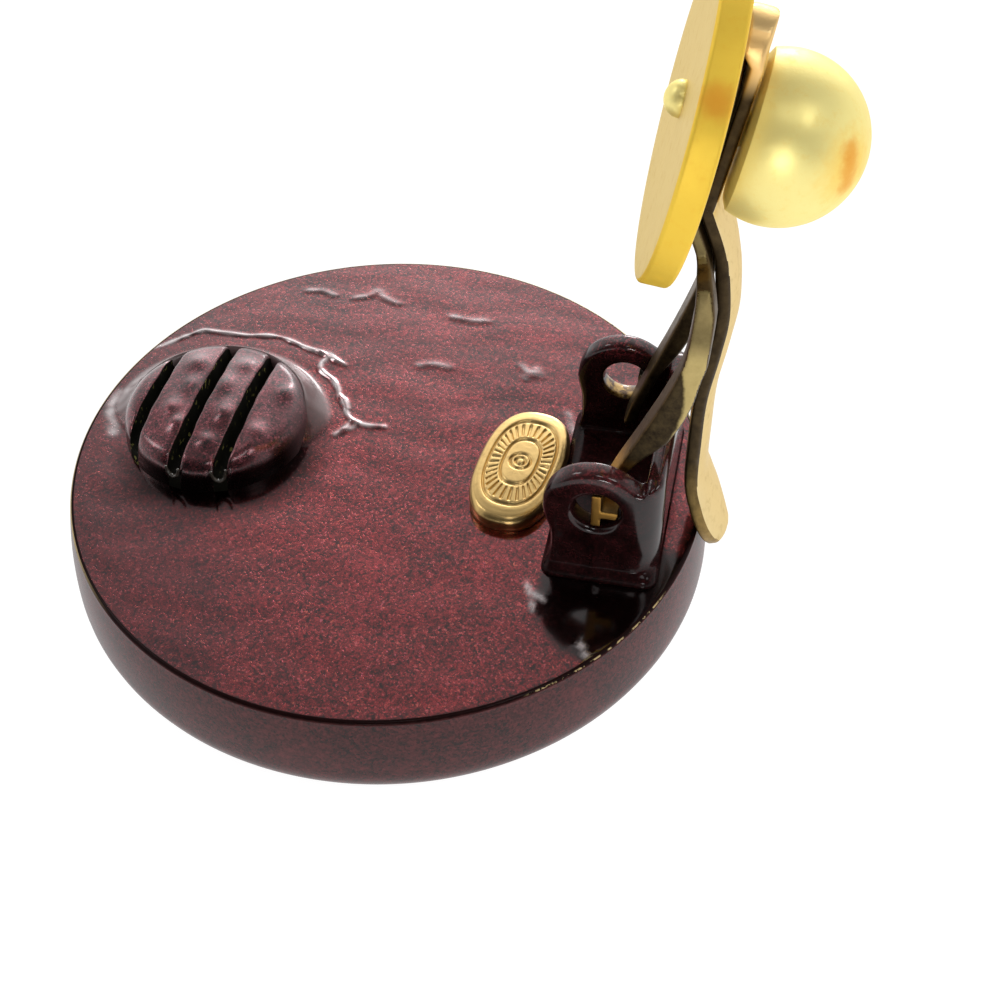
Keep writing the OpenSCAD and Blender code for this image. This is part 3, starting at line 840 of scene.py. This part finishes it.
class Finish(Nodes):
    """One material with its shader. Its patterns are laid out in millimetres of the object's own space."""

    def __init__(self, name, **sockets):
        self.material = bpy.data.materials.new(name)
        self.material.use_nodes = True
        super().__init__(self.material.node_tree)
        self.shader = self.tree.nodes["Principled BSDF"]
        for socket, value in sockets.items():
            self.shader.inputs[socket.replace("_", " ")].default_value = value
        place = self.node("ShaderNodeTexCoord", out="Object")
        self.mm = self.node("ShaderNodeVectorMath", {"operation": "SCALE"}, {0: place, 3: 1 / MM})
        self.x, self.y, self.z = (self.split(self.mm, k) for k in range(3))

    def noise(self, scale, detail=2, rough=0.5, stretch=(1, 1, 1), shift=0.0):
        """Smooth noise with scale cycles a millimetre, about 0.5."""
        place = {"Vector": self.mm, "Scale": stretch, "Location": (shift, 0, 0)}
        at = self.node("ShaderNodeMapping", sockets=place)
        return self.node("ShaderNodeTexNoise", None,
                         {"Vector": at, "Scale": scale, "Detail": detail, "Roughness": rough})

    def cells(self, scale, k=0):
        """Voronoi cells, scale of them a millimetre, each with its own random value."""
        cell = self.node("ShaderNodeTexVoronoi", None, {"Vector": self.mm, "Scale": scale}, "Color")
        return self.node("ShaderNodeSeparateColor", None, {0: cell}, out=k)

    def share(self, name):
        """A value that the mesh carries at its points."""
        return self.node("ShaderNodeAttribute", {"attribute_name": name}, out="Fac")

    def bump(self, height, distance, strength=1.0, under=None):
        """A bump of height times distance, in millimetres, over the one under it."""
        sockets = {"Strength": strength, "Distance": distance * MM, "Height": height}
        if under is not None:
            sockets["Normal"] = under
        return self.node("ShaderNodeBump", sockets=sockets, out="Normal")

    def feed(self, **links):
        """Links values to the shader's sockets, whose names have _ for a space."""
        for socket, value in links.items():
            self.tree.links.new(value.socket, self.shader.inputs[socket.replace("_", " ")])
        return self.material


def flaked_lacquer(name, deep, bright, spark, soft, coated=False):
    """Burgundy lacquer full of metal flakes under a clear coat. Each small cell is a flake with its own
    brightness and hue, flakes gather in clouds, and the coat has low waves. The button has pooled, pale and
    black coats, which carry a painted sheen, painted highlights and painted shade, and darkens far off, a
    painted shade that tones down the backdrop's light, on the left, and at the near brim, a painted shade.
    The pad has a painted shade low in front, and is hazy where lacquer has crept up, painted grey mauve as a
    stand-in for its reflection."""
    f = Finish(name, Coat_Weight=1.0, Coat_Roughness=soft, Coat_IOR=1.55, Specular_IOR_Level=0.4)
    grain, fine, hue = f.cells(12), f.cells(19, 1), f.cells(12, 2)
    cloud = f.noise(0.35, 4, 0.6)
    clump = f.noise(3.4, 3, 0.6, shift=7.0)
    wave = f.noise(0.55, 3, 0.5, stretch=(0.35, 1.0, 1.0), shift=2.0)
    far = f.step(0.0, 8.0, f.y)
    level = (1.2 * (0.55 * grain + 0.45 * fine) - 0.13 + 1.1 * (clump - 0.5) + 0.9 * (cloud - 0.5)).held()
    colour = f.mix(level, deep, bright)
    colour = f.mix(f.step(0.76, 0.95, 0.55 * grain + 0.45 * fine) * 0.45, colour, f.mix(hue, *spark))
    normal = f.bump(grain, 0.007, 0.5, f.bump(wave * (0.6 + 2.6 * far) + 0.2 * clump, 0.05, 0.7))
    rough = 0.14 + 0.10 * fine
    if not coated:
        low = f.step(BACK + 1.2, BACK + 0.6, f.z)
        shade = low * f.step(PAD_Y + 0.5, PAD_Y - 1.5, f.y)
        beyond = 0.9 * (f.x - PAD_X) + (f.y - PAD_Y)
        haze_and_painted_sheen = f.step(BACK + 1.52, BACK + 1.25, f.z) * f.step(1.0, 3.0, beyond)
        # Painted shade on the pad's near wall, low in front.
        colour = f.mix(0.85 * shade, colour, (0.008, 0.003, 0.003))
        # Where lacquer has crept up: rougher and duller, and painted grey mauve as a painted sheen.
        colour = f.mix(0.4 * haze_and_painted_sheen, colour, (0.12, 0.075, 0.08))
        return f.feed(Base_Color=colour, Metallic=1.0 - 0.8 * haze_and_painted_sheen, Roughness=rough + 0.12 + 0.3 * haze_and_painted_sheen,
                      Coat_Weight=1 - 0.85 * haze_and_painted_sheen, Normal=normal)
    pooled, pale, painted_shade = f.share("pooled"), f.share("pale"), f.share("painted_shade")
    # Painted shade: darker far off, toning down the bright backdrop's light there.
    colour = f.mix(0.3 * far, colour, (0.022, 0.008, 0.010))
    left = f.step(-3.0, -12.0, f.x + 0.4 * f.y + 4 * (cloud - 0.5))
    colour = f.mix(0.45 * left, colour, (0.030, 0.010, 0.014))
    # Painted shade from the black coat.
    colour = f.mix(painted_shade, colour, (0.006, 0.003, 0.003))
    # The pooled coat: pale grey mauve, a painted sheen that stands in for its reflection of the backdrop.
    colour = f.mix(0.92 * pooled, colour, f.mix(cloud, (0.12, 0.07, 0.07), (0.20, 0.135, 0.135)))
    # Painted highlights from the pale coat.
    colour = f.mix(pale, colour, (0.74, 0.66, 0.66))
    out = (f.x * f.x + f.y * f.y) ** 0.5
    # Painted shade along the near brim of the back.
    painted_brim_shade = f.step(12.78, 12.86, out + 0.14 * (clump - 0.5)) * f.step(1, -5, f.y - 0.6 * f.x)
    colour = f.mix(0.85 * painted_brim_shade, colour, (0.012, 0.004, 0.004))
    front = painted_shade * f.step(0, -2, f.x)
    return f.feed(Base_Color=colour, Metallic=((1 - 0.95 * pooled) * (1 - pale)).held(), Normal=normal,
                  Roughness=rough + 0.35 * pooled, Coat_Weight=(1 - 0.75 * pooled) * (1 - 0.85 * front))


def rim_lacquer():
    """The rim's lacquer: brown mauve with faint flakes under a dull coat."""
    f = Finish("rim_lacquer", Roughness=0.4, Coat_Weight=0.65, Coat_Roughness=0.22, Coat_IOR=1.5,
               Specular_IOR_Level=0.0)
    cloud, clump, grain, fine = f.noise(0.5, 3, 0.6), f.noise(3, 3, 0.6), f.cells(9), f.cells(15, 1)
    level = (0.9 * (0.6 * grain + 0.4 * fine) + 0.9 * (clump - 0.5) + 0.7 * (cloud - 0.5)).held()
    colour = f.mix(level, (0.014, 0.004, 0.004), (0.14, 0.024, 0.026))
    return f.feed(Base_Color=colour, Normal=f.bump(clump, 0.02, 0.4, f.bump(cloud, 0.08, 0.5)))


def worn_and_shaded_edge():
    """Near-black lacquer over the rim's, a painted shade along the top where the edge turns, and real wear,
    rubbed through to gilt in a broken band on the far and left sides and in thin dashes near the hinge. Depth
    is counted in shares of the edge."""
    f = Finish("worn_and_shaded_edge", Roughness=0.5, Coat_Weight=0.12, Coat_Roughness=0.25, Specular_IOR_Level=0.0)
    ragged, clump = f.noise(2.4, 4, 0.7), f.noise(4, 3, 0.7)
    down = (BACK - f.z) / EDGE
    low = f.step(0.97, 0.7, down)
    top = 0.02 + 0.15 * f.step(4, -2, f.y)
    far = f.step(-5.0, 1.0, f.y - 0.6 * f.x) * f.step(0.28, 0.40, ragged) * f.step(0, 0.07, down - top)
    dashes = f.step(0.49, 0.56, ragged) * f.step(7.6, 8.4, f.x) * f.step(-4.2, -5.4, f.y)
    thin = f.step(0.62, 0.52, down) * f.step(0.2, 0.3, down)
    rubbed = (0.8 * far * low + dashes * thin).held()
    # Painted shade: near black at the top of the edge, fading to dark red lower down.
    painted_shade = f.step(0.9, 0.4, down - 0.9 * (clump - 0.5))
    colour = f.mix(painted_shade, (0.060, 0.014, 0.014), f.mix(ragged, (0.004, 0.002, 0.002), (0.022, 0.006, 0.006)))
    colour = f.mix(rubbed, colour, (0.56, 0.42, 0.21))
    return f.feed(Base_Color=colour, Metallic=rubbed, Normal=f.bump(ragged, 0.03, 0.5))


def groove_painted_shade():
    """Painted shade in the grooves: black, with a few olive and gold specks as painted glints."""
    f = Finish("groove_painted_shade", Roughness=0.8, Specular_IOR_Level=0.1)
    speck = f.step(0.90, 0.98, f.cells(7)) * f.step(0.45, 0.6, f.noise(1.3, 2, shift=4.0))
    colour = f.mix(f.noise(3, 3), (0.002, 0.002, 0.001), (0.010, 0.009, 0.005))
    return f.feed(Base_Color=f.mix(speck, colour, (0.22, 0.20, 0.06)))


def dark_lacquer():
    """The bracket's lacquer: near black, with red flakes and a lighter red high up, a painted sheen where the
    light catches the top, and rubbed through to gilt on the lower lip of the far hole."""
    f = Finish("dark_lacquer", Coat_Weight=0.8, Coat_Roughness=0.13, Coat_IOR=1.5, Specular_IOR_Level=0.0)
    cloud, grain, fine = f.noise(0.9, 4, 0.6), f.cells(10), f.cells(16, 1)
    x, z = f.x - HINGE_X, f.z - HINGE_Z
    off = (x * x + z * z) ** 0.5
    bare = 1 - f.step(0.94, 1.04, off + 0.16 * (f.noise(3, 2) - 0.5))
    bare = bare * f.step(2.5, 3.0, f.y) * f.step(-0.25, -0.5, z)
    # Painted sheen: more red flakes and a lighter red towards the top, most on the far ear.
    high = f.step(BACK + 4.3, BACK + 5.4, f.z + 0.6 * (cloud - 0.5))
    flakes = f.step(0.45, 0.95, 0.6 * grain + 0.4 * fine) * (0.08 + (0.45 + 0.5 * f.step(2, 3, f.y)) * high)
    colour = f.mix((cloud * 1.2 - 0.45 + 0.5 * high).held(), (0.005, 0.002, 0.002), (0.060, 0.016, 0.017))
    colour = f.mix(flakes * 0.7, colour, (0.36, 0.05, 0.06))
    worn = f.mix(f.step(0.4, 0.6, f.noise(3.5, 3)), (0.36, 0.22, 0.06), (0.08, 0.04, 0.015))
    colour = f.mix(bare, colour, worn)
    return f.feed(Base_Color=colour, Metallic=(0.6 * flakes + bare).held(), Roughness=0.36 + 0.1 * cloud,
                  Coat_Weight=0.2 + 0.6 * f.step(BACK + 0.35, BACK + 1.1, f.z),
                  Normal=f.bump(cloud, 0.14, 0.5, f.bump(grain, 0.004, 0.3)))


def gilt(name, tone, dark, rough, coarse, wear, edge=(1, 1, 1), metal=1.0, stains_and_reflections=()):
    """Gilt brass: its tone wanders, and small pits and rubs dull it. Stains and painted reflections fade out
    with the distance from their places, and each has a width and a colour."""
    f = Finish(name, Metallic=metal, Roughness=rough, Specular_Tint=(*edge, 1))
    cloud = f.noise(0.8, 4, 0.6)
    grain = f.noise(coarse, 3, 0.6, shift=3.0)
    rub = f.step(0.50, 0.72, f.noise(2.2, 5, 0.7, shift=11.0))
    colour = f.mix((rub * wear + 0.35 * (cloud - 0.35)).held(), tone, dark)
    for (x, y, z), wide, tint in stains_and_reflections:
        off = sum((v - at) * (v - at) for v, at in ((f.x, x), (f.y, y), (f.z, z)))
        spread = f.step(wide, 0.2 * wide, off ** 0.5 + 0.5 * wide * (grain - 0.5))
        colour = f.mix(0.75 * spread, colour, tint)
    return f.feed(Base_Color=colour, Roughness=rough + 0.12 * rub + 0.1 * (grain - 0.5),
                  Normal=f.bump(grain, 0.012, 0.5, f.bump(cloud, 0.06, 0.4)))


def tongue_edge(brown, tan):
    """The tongue's sides: mottled brown, gold towards the heel, tan on the thick top end."""
    f = Finish("tongue_edge", Metallic=1.0, Roughness=0.45)
    cloud, rub = f.noise(0.8, 4, 0.6), f.noise(2.2, 5, 0.7, shift=11.0)
    heel, knob = f.step(BACK + 4.5, BACK - 0.5, f.z), f.step(HEAD_Z + 1.6, HEAD_Z + 2.8, f.z)
    colour = f.mix((1.3 * rub - 0.2 + 0.6 * (cloud - 0.5)).held(), (0.018, 0.012, 0.008), brown)
    colour = f.mix(0.75 * heel * rub * 1.6, colour, (0.50, 0.33, 0.11))
    return f.feed(Base_Color=f.mix(knob, colour, tan), Normal=f.bump(rub, 0.02, 0.4))


def arm_edge():
    """The frame's side faces: mottled brown. The near one is gold low down, with a painted highlight, a pale
    crescent along its outer side, bounded by a parabola and fainter towards the shoulder."""
    f = Finish("arm_edge", Metallic=1.0, Roughness=0.45)
    cloud, rub = f.noise(0.9, 4, 0.6), f.noise(2.6, 5, 0.7)
    h = f.z - BACK
    up, low = h - 9.5, h - 6.6
    inside = 12.65 + 0.2 * up - 0.032 * up * up - f.x - 0.9 * f.step(10.8, 12, h)
    wide = 0.16 + 0.055 * low * low
    # Painted highlight: the pale crescent along the near arm's outer side.
    pale = f.step(0.08, -0.08, inside - wide + 0.25 * (rub - 0.5)) * f.step(5.6, 6.6, h)
    pale = pale * (0.3 + 0.7 * f.step(11.8, 10.6, h))
    near = f.step(0.5, -0.5, f.y)
    level = (1.6 * rub - 0.45 + 0.6 * (cloud - 0.5)).held()
    colour = f.mix(level, (0.018, 0.012, 0.008), (0.11, 0.078, 0.036))
    colour = f.mix(0.8 * near * f.step(5.6, 4.7, h), colour, (0.50, 0.27, 0.06))
    colour = f.mix(0.85 * pale * near, colour, f.mix(rub, (0.46, 0.35, 0.13), (0.72, 0.57, 0.25)))
    return f.feed(Base_Color=colour, Roughness=0.36 + 0.2 * rub,
                  Normal=f.bump(rub, 0.02, 0.4, f.bump(cloud, 0.06, 0.4)))


def lacquer_film():
    """Thin brownish clear lacquer."""
    f = Finish("lacquer_film", Roughness=0.15, Coat_Weight=1.0, Coat_Roughness=0.05)
    colour = f.mix(f.noise(4, 3), (0.02, 0.015, 0.012), (0.10, 0.085, 0.07))
    return f.feed(Base_Color=colour)


# The set

def floor():
    """A white table that is lit from within, so that it throws its light up and shows no shadow."""
    mesh = bpy.data.meshes.new("floor")
    far = 0.6
    mesh.from_pydata([(-far, -far, 0), (far, -far, 0), (far, far, 0), (-far, far, 0)], [], [(0, 1, 2, 3)])
    pale = Finish("pale_floor", Roughness=0.9, Base_Color=(0.15, 0.15, 0.15, 1), Specular_IOR_Level=0.0,
                  Emission_Color=(1, 1, 1, 1), Emission_Strength=0.98)
    mesh.materials.append(pale.material)
    placed("floor", mesh)


def softbox(name, azimuth, height, size, power):
    """A square area light 35 cm off, at an azimuth and height seen from the button, which it faces."""
    data = bpy.data.lights.new(name, "AREA")
    data.shape, data.size, data.energy = "SQUARE", size, power
    a, e = math.radians(azimuth), math.radians(height)
    way = Vector((math.sin(a) * math.cos(e), -math.cos(a) * math.cos(e), math.sin(e)))
    aimed(name, data, way * 0.35, Vector())


def head_lamp():
    """A soft narrow lamp from the front, on the clip's head alone."""
    data = bpy.data.lights.new("head_lamp", "SPOT")
    data.energy, data.shadow_soft_size = 0.3, 0.02
    data.spot_size, data.spot_blend = math.radians(15), 0.6
    aim = Vector((HEAD_X + 2, 0, HEAD_Z + 1)) * MM
    aimed("head_lamp", data, aim + Vector((0.012, -0.11, 0.016)), aim)


def surround():
    """The room's light by direction: a bright backdrop low behind the object that falls off with height,
    paler sides, and a dark side where the photographer stands."""
    world = bpy.data.worlds.new("room")
    bpy.context.scene.world = world
    world.use_nodes = True
    w = Nodes(world.node_tree)
    way = w.node("ShaderNodeTexCoord", out="Generated")
    y, z = w.split(way, 1), w.split(way, 2)
    behind = y / (1.0001 - z * z) ** 0.5

    def by_height(*stops):
        return w.node("ShaderNodeValToRGB", {"stops": [(at, (v / 4,) * 3) for at, v in stops]}, {0: z})
    far = by_height((0, 2.4), (1, 0.25), (0.62, 2.1), (0.68, 1.5), (0.72, 0.98), (0.79, 0.74), (0.9, 0.4))
    side = by_height((0, 1), (1, 0.25), (0.35, 0.95), (0.7, 0.5))
    near = by_height((0, 0.5), (1, 0.2), (0.08, 0.25), (0.2, 0.06), (0.92, 0.06))
    room = w.mix(w.step(0.74, 0.97, behind), w.mix(w.step(-0.2, -0.75, behind), side, near), far)
    light = w.tree.nodes["Background"].inputs
    w.tree.links.new(room.socket, light["Color"])
    light["Strength"].default_value = 4.0


def camera():
    """The photograph's view: where the camera stands, what it looks at, and a small roll."""
    data = bpy.data.cameras.new("camera")
    data.sensor_width, data.lens = 36, 62.16
    data.clip_start, data.clip_end = 0.001, 10
    stand = Vector((14.75, -47.36, BACK + 51.5)) * MM
    aim = Vector((4.69, 0.08, BACK - 1.27)) * MM
    bpy.context.scene.camera = aimed("camera", data, stand, aim, math.radians(-0.7026))


ORANGE = (0.85, 0.34, 0.03)
TAN = (0.88, 0.58, 0.24)

burgundy = flaked_lacquer("burgundy_lacquer", (0.018, 0.003, 0.003), (0.30, 0.024, 0.030),
                          ((0.68, 0.20, 0.10), (0.54, 0.15, 0.25)), 0.10, True)
pad_burgundy = flaked_lacquer("pad_lacquer", (0.016, 0.007, 0.008), (0.19, 0.034, 0.044),
                              ((0.55, 0.14, 0.14), (0.42, 0.14, 0.20)), 0.22)
button(burgundy, worn_and_shaded_edge(), rim_lacquer())
slotted_pad(pad_burgundy, groove_painted_shade())
groove_lips(lacquer_film())
plaque(gilt("satin_gilt", (0.69, 0.47, 0.185), (0.38, 0.24, 0.09), 0.30, 7, 0.4))
hinge_bracket(dark_lacquer())
arm_tip = (9.75, -2.5, BACK + 4.0)
worn_brass = gilt("worn_brass", (0.11, 0.072, 0.032), (0.020, 0.014, 0.009), 0.42, 5, 0.85,
                  stains_and_reflections=[(arm_tip, 2.2, (0.62, 0.36, 0.10))])
clip_frame(worn_brass, arm_edge())
pale_gilt = gilt("pale_gilt", (0.80, 0.63, 0.33), (0.50, 0.38, 0.18), 0.36, 5, 0.3, (0.9, 0.8, 0.6),
                 stains_and_reflections=[(to_head(4.2, 0, TONGUE_D), 3.0, TAN)])
spring_tongue(pale_gilt, tongue_edge((0.11, 0.075, 0.035), TAN))
plate_pale = gilt("plate_face", (0.80, 0.63, 0.27), (0.66, 0.48, 0.18), 0.45, 4, 0.3, (0.85, 0.7, 0.42), 0.7)
plate_yellow = gilt("plate_rim", (0.92, 0.62, 0.07), (0.85, 0.48, 0.04), 0.5, 3, 0.15, (0.95, 0.8, 0.4), 0.45,
                    [(to_head(3.6, -4.3, 0), 0.8, ORANGE)])
pad_plate(plate_pale, plate_yellow)
# Painted reflections on the ball: a deeper yellow band and three orange spots on one side.
ball_painted_reflections = [(to_head(u, -1.9, BALL_D + 2.0), wide, tone) for u, wide, tone in
              ((0.8, 1.7, (1.0, 0.66, 0.13)), (0.2, 0.6, ORANGE), (0.8, 0.6, ORANGE), (1.4, 0.6, ORANGE))]
ball_stud(gilt("ball_gilt", (1.0, 0.87, 0.34), (0.95, 0.68, 0.15), 0.40, 3, 0.25, (1, 0.9, 0.55), 0.5,
               ball_painted_reflections))

floor()
surround()
for lamp in (("window_left", -104, 49, 0.08, 0.12), ("window_right", 60, 55, 0.08, 0.12),
             ("overhead", 12, 68, 0.06, 0.06), ("back_low", 180, 14, 0.08, 0.25)):
    softbox(*lamp)
head_lamp()
camera()
bpy.context.scene.view_settings.view_transform = "Standard"
